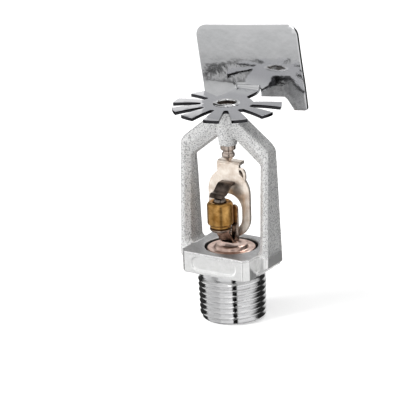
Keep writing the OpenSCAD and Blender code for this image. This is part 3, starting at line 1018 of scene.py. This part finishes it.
def bend_through(points, radius=0.8, cuts=5):
    """Rounds the corners of a side path, keeping y and z."""
    shifted = [(y + 100.0, z) for y, z in points]
    return [(y - 100.0, z) for y, z in soften(shifted, radius, cuts)]


def strip(path, thickness, width):
    """A bent strip of even width, across X."""
    def fill(bm):
        prism(bm, ribbon(path, thickness), lambda u, v, w: Vector((-width / 2 + w, u, v)), width)
    return fill


ball_top = box_mm("capsule_ball")[1].z
TONGUE_T = 0.9
tongue_z = ball_top + 0.1 + TONGUE_T / 2
head_path = bend_through([(0.0, STRUT_HEAD - 3.0), (0.0, STRUT_HEAD - 0.5),
                          (2.75, STRUT_HEAD - 0.5)], 0.7)
head = solid("strut_head", strip(head_path, 0.98, 2 * HEAD_HALF))
round_edges(head, 0.2, 2, 50)
fit_out(head, "strut", "strut", NICKEL)
tongue_path = bend_through([(0.2, TONGUE_ROOT), (-2.9, TONGUE_ROOT), (-5.5, tongue_z),
                            (-7.5, tongue_z), (-7.9, tongue_z - 0.9)], 1.0)
tongue = solid("strut_tongue", strip(tongue_path, TONGUE_T, 4.7))
round_edges(tongue, 0.2, 2, 50)
fit_out(tongue, "strut", "strut", DARK_NICKEL_AND_SHADE)

# %% Lever
POST_TOP = box_mm("lever")[1].z
capsule_low, capsule_high = box_mm("capsule_cylinder")
capsule_mid = (capsule_low + capsule_high) / 2
FULCRUM = next(j for j in frame["joints"] if j["name"] == "lever_fold")["pos_m"][2] / MM
SAUCER = capsule_low.z
LEVER_BACK = -1.95


def lever_foot(bm):
    outline = arc(0.0, FULCRUM, 0.98, -100, 140, 16) + [(LEVER_BACK - 0.35, FULCRUM + 0.6),
                                                       (LEVER_BACK - 0.35, FULCRUM - 0.3)]
    prism(bm, outline, lambda u, v, w: Vector((-2 + w, u, v)), 4.0)


def lever_saucer(bm):
    profile = [(0, SAUCER - 1.2), (2.0, SAUCER - 1.15), (3.2, SAUCER - 0.5), (3.5, SAUCER + 0.2),
               (3.2, SAUCER + 0.3), (2.7, SAUCER - 0.02), (0, SAUCER - 0.02)]
    spin(bm, soften(profile, 0.25, 3), (0.0, capsule_mid.y), 48)


lever_parts = [solid("lever_foot", lever_foot), solid("lever_saucer", lever_saucer)]
web = bend_through([(LEVER_BACK, FULCRUM + 3.2), (LEVER_BACK, FULCRUM),
                    (LEVER_BACK - 0.5, FULCRUM + 0.5), (-5.0, SAUCER - 0.8),
                    (-7.0, SAUCER - 0.55)], 0.6)
lever_parts.append(solid("lever_web", strip(web[-8:], 0.7, 5.0)))
back = [(LEVER_BACK, FULCRUM - 0.2), (LEVER_BACK, FULCRUM + 3.3)]
lever_parts.append(solid("lever_back", strip(back, 0.7, 5.0)))
post_outline = [(1.7, FULCRUM + 0.8), (4.1, FULCRUM + 0.8)]
post_outline += arc(2.9, POST_TOP - 1.2, 1.2, 0, 180, 8)
lever_parts.append(solid("lever_post", lambda bm: prism(
    bm, post_outline, lambda u, v, w: Vector((u, LEVER_BACK - 0.35 + w, v)), 0.7)))
for part in lever_parts:
    if part.name != "lever_saucer":
        round_edges(part, 0.12, 2, 50)
    rosy = part.name != "lever_foot"
    fit_out(part, "lever", "lever", ROSY_NICKEL if rosy else DARK_NICKEL_AND_SHADE)

# %% [markdown]
# ## The fusible capsule
# A small brass cylinder, turned with a narrower base and a rounded rim, is packed with solder and
# closed by a steel ball. The profile runs down the outside, round the base and up the bore, so the
# piece has a real wall and the ball sits in a real mouth.

# %% Capsule and ball
CAPSULE_R = (capsule_high.x - capsule_low.x) / 2
BORE_R = 2.15


def capsule(bm):
    low, high = capsule_low.z, capsule_high.z + 0.9
    wide, narrow = CAPSULE_R - 0.02, CAPSULE_R - 0.75
    profile = [(0, low), (CAPSULE_R - 1.5, low), (narrow, low + 0.7), (narrow, low + 1.4),
               (wide, low + 1.75), (wide, high - 0.8), (narrow, high - 0.02),
               (BORE_R + 0.35, high - 0.02), (BORE_R, high - 0.4), (BORE_R, low + 1.3), (0, low + 1.3)]
    spin(bm, soften(profile, 0.45, 5), (0.0, capsule_mid.y), 72)


body = solid("capsule_body", capsule)
fit_out(body, "lever", "capsule_cylinder", BRASS)

# %% [markdown]
# ## Cap, washer and film
# The cap is a stepped dish of plated copper that stops the orifice. Only its top shows, with the
# black gap of the recess round it. The ball, spring washer and film are already the right
# shape in the exact model, so those parts stay and only get a finish.

# %% Cap and the parts that stay
cap_low, cap_high = box_mm("cap")
CAP_R = cap_high.x


def cap(bm):
    top = cap_high.z
    rim_top = top - 1.1
    profile = [(0, cap_low.z), (4.0, cap_low.z), (4.5, cap_low.z + 0.5), (4.5, rim_top - 1.0),
               (CAP_R, rim_top - 1.0), (CAP_R, rim_top - 0.25), (CAP_R - 0.3, rim_top),
               (6.0, rim_top - 0.25), (5.4, rim_top - 0.1), (5.1, top - 0.35), (4.6, top),
               (3.4, top), (2.6, top - 0.3), (0, top - 0.35)]
    spin(bm, soften(profile, 0.3, 4), steps=96)


cap_piece = solid("cap_dish", cap)
fit_out(cap_piece, "cap", "cap", COPPER)

solder_low, solder_high = box_mm("solder_pellet")
SINK = next(j for j in frame["joints"] if j["name"] == "ball_sink")["range_m"][1] / MM


def pellet(bm):
    """Solder below the ball, a rounded cylinder that stays whole; in the real head it runs out and the
    ball sinks into its place.
    """
    r = solder_high.x - 0.05
    low, high = solder_low.z + 0.02, solder_high.z - 0.02
    spin(bm, soften([(0, low), (r, low), (r, high), (0, high)], 0.2, 3), (0.0, capsule_mid.y), 48)


solder = solid("solder_fill", pellet)
fit_out(solder, "lever", "solder_pellet", SOLDER)
1 - (SINK + 0.05) / (solder_high.z - solder_low.z)
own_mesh(solder)

for node, material in (("capsule_ball", BALL_STEEL), ("spring_washer", SPRING_STEEL),
                       ("seal_film", FILM)):
    kept = frame["nodes"][node]
    kept.data.materials.clear()
    kept.data.materials.append(material)
    print(node, "keeps its shape")

# %% [markdown]
# ## Floor, light and camera
# The head stands on a pale floor that runs off to white. Chrome shows the room more than itself,
# so the room matters: a bright surround with a few dark bands gives the plate and the thread their
# streaks. The floor and the key lamp are kept out of mirrors, or they would wash the polished sheet
# out, so the key lamp only shapes the dull casting. The eye sees plain white behind the head.

# %% Floor
floor_mesh = bmesh.new()
FLOOR_ACROSS, FLOOR_ALONG = 110.0, 900.0
AZIMUTH, ELEVATION, ROLL = (math.radians(v) for v in (32.2, 19.55, 1.87))
floor_corners = [(-FLOOR_ACROSS, -200.0), (FLOOR_ACROSS, -200.0), (FLOOR_ACROSS, FLOOR_ALONG),
                 (-FLOOR_ACROSS, FLOOR_ALONG)]
turned_floor = [Matrix.Rotation(AZIMUTH, 3, "Z") @ Vector((x, y, -0.01)) for x, y in floor_corners]
floor_mesh.faces.new([floor_mesh.verts.new(p) for p in turned_floor])
floor = make_object("studio_floor", floor_mesh)
pale = Finish("pale_floor", roughness=0.7, metallic=0.0, colour=(0.92, 0.92, 0.92))
pale.set("Roughness", 0.6 + pale.grain(40.0) * 0.1)
pale.set("Emission Color", (1.0, 1.0, 1.0, 1.0))
pale.set("Emission Strength", 0.3)
floor.data.materials.append(pale.material)
floor.visible_glossy = False


# %% Room
def studio_world():
    """A bright room with soft dark bands for reflections and light; the eye sees plain white."""
    world = bpy.data.worlds.new("studio")
    bpy.context.scene.world = world
    world.use_nodes = True
    room = Nodes(world.node_tree)
    background = world.node_tree.nodes["Background"]
    direction = room.node("ShaderNodeTexCoord", out=0)
    x = room.node("ShaderNodeSeparateXYZ", None, {0: direction}, out=0)
    y = room.node("ShaderNodeSeparateXYZ", None, {0: direction}, out=1)
    z = room.node("ShaderNodeSeparateXYZ", None, {0: direction}, out=2)
    around = x.math("ARCTAN2", x, y) * (0.5 / math.pi) + 0.5
    bands = room.ramp(around, [(0.0, 0.9), (0.058, 0.9), (0.0630, 0.03), (0.0655, 0.03),
                               (0.0675, 0.35), (0.0695, 0.95), (0.075, 0.95), (0.078, 0.22),
                               (0.086, 0.18), (0.094, 0.45), (0.0965, 0.95), (0.1000, 0.95),
                               (0.1015, 0.01), (0.1060, 0.01), (0.1075, 0.7), (0.24, 0.9),
                               (0.27, 0.04), (0.35, 0.05), (0.39, 0.9), (0.46, 0.9), (0.50, 0.6),
                               (0.53, 0.04), (0.61, 0.04), (0.65, 0.5), (0.70, 0.95), (0.84, 0.95),
                               (0.868, 0.9), (0.875, 0.01), (0.915, 0.01), (0.922, 1.0),
                               (1.0, 0.9)])
    up = room.ramp(z * 0.5 + 0.5, [(0.0, 0.5), (0.45, 0.9), (0.6, 1.0), (0.8, 0.6), (1.0, 1.0)])
    cloud = room.node("ShaderNodeTexNoise", None, {"Vector": direction, "Scale": 14.0, "Detail": 3.0})
    wavy = z + (cloud - 0.5) * 0.035
    upper = room.ramp((wavy + 0.45) * 5.0, [(0.30, 0.10), (0.38, 0.14), (0.44, 0.46), (1.0, 0.66)])
    facing_sheet = room.ramp(around, [(0.050, 0.0), (0.060, 1.0), (0.118, 1.0), (0.13, 0.0)])
    over = room.ramp((wavy + 0.45) * 5.0, [(0.27, 0.0), (0.32, 1.0)]) * facing_sheet
    glow_room = bands * up * (1.0 - over) + upper * over
    seen = room.node("ShaderNodeLightPath", out=0)
    glow = room.mix(seen, glow_room, (1.0, 1.0, 1.0, 1.0))
    room.fill(background.inputs["Color"], glow)
    background.inputs["Strength"].default_value = 1.15


def lamp(name, place, aim, size, watts, in_mirrors=True):
    """A soft rectangular lamp; one that is not in the mirrors lights only the dull surfaces."""
    light = bpy.data.lights.new(name, "AREA")
    light.shape = "RECTANGLE"
    light.size, light.size_y = size
    light.energy = watts
    lamp_object = bpy.data.objects.new(name, light)
    lamp_object.location = place
    lamp_object.visible_glossy = in_mirrors
    lamp_object.rotation_euler = (Vector(aim) - Vector(place)).to_track_quat("-Z", "Y").to_euler()
    bpy.context.scene.collection.objects.link(lamp_object)


studio_world()
middle = Vector((0.0, 0.0, 0.045))
lamp("key", (-0.45, -0.60, 0.33), middle, (0.40, 0.40), 6.6, in_mirrors=False)
lamp("fill", (0.25, -0.50, 0.60), middle, (0.30, 0.50), 0.3)
lamp("back", (0.05, 0.50, 0.60), middle, (0.40, 0.20), 1.2)

# %% Camera
DISTANCE = 892.0
PICTURE_WIDTH = 125.3
AIM_LEFT, AIM_UP = 9.8, 14.1
toward = Vector((math.sin(AZIMUTH) * math.cos(ELEVATION), -math.cos(AZIMUTH) * math.cos(ELEVATION),
                 math.sin(ELEVATION)))
level_right = Vector((math.cos(AZIMUTH), math.sin(AZIMUTH), 0.0))
level_up = toward.cross(level_right)
right = level_right * math.cos(ROLL) - level_up * math.sin(ROLL)
up = level_right * math.sin(ROLL) + level_up * math.cos(ROLL)
target = Vector((0.0, 0.0, BLOCK_TOP))
eye = target + toward * DISTANCE
aim = target - right * AIM_LEFT + up * AIM_UP
back_axis = (eye - aim).normalized()
right = up.cross(back_axis).normalized()
up = back_axis.cross(right)
camera_data = bpy.data.cameras.new("camera")
camera_data.sensor_width = 36.0
camera_data.lens = 36.0 * DISTANCE / PICTURE_WIDTH
camera_data.clip_start, camera_data.clip_end = 0.05, 20.0
camera = bpy.data.objects.new("camera", camera_data)
camera.matrix_world = Matrix(((right.x, up.x, back_axis.x, eye.x * MM),
                              (right.y, up.y, back_axis.y, eye.y * MM),
                              (right.z, up.z, back_axis.z, eye.z * MM),
                              (0, 0, 0, 1)))
bpy.context.scene.collection.objects.link(camera)
bpy.context.scene.camera = camera
bpy.context.scene.view_settings.view_transform = "Standard"
bpy.context.scene.view_settings.gamma = 0.85
print("lens", round(camera_data.lens, 1))
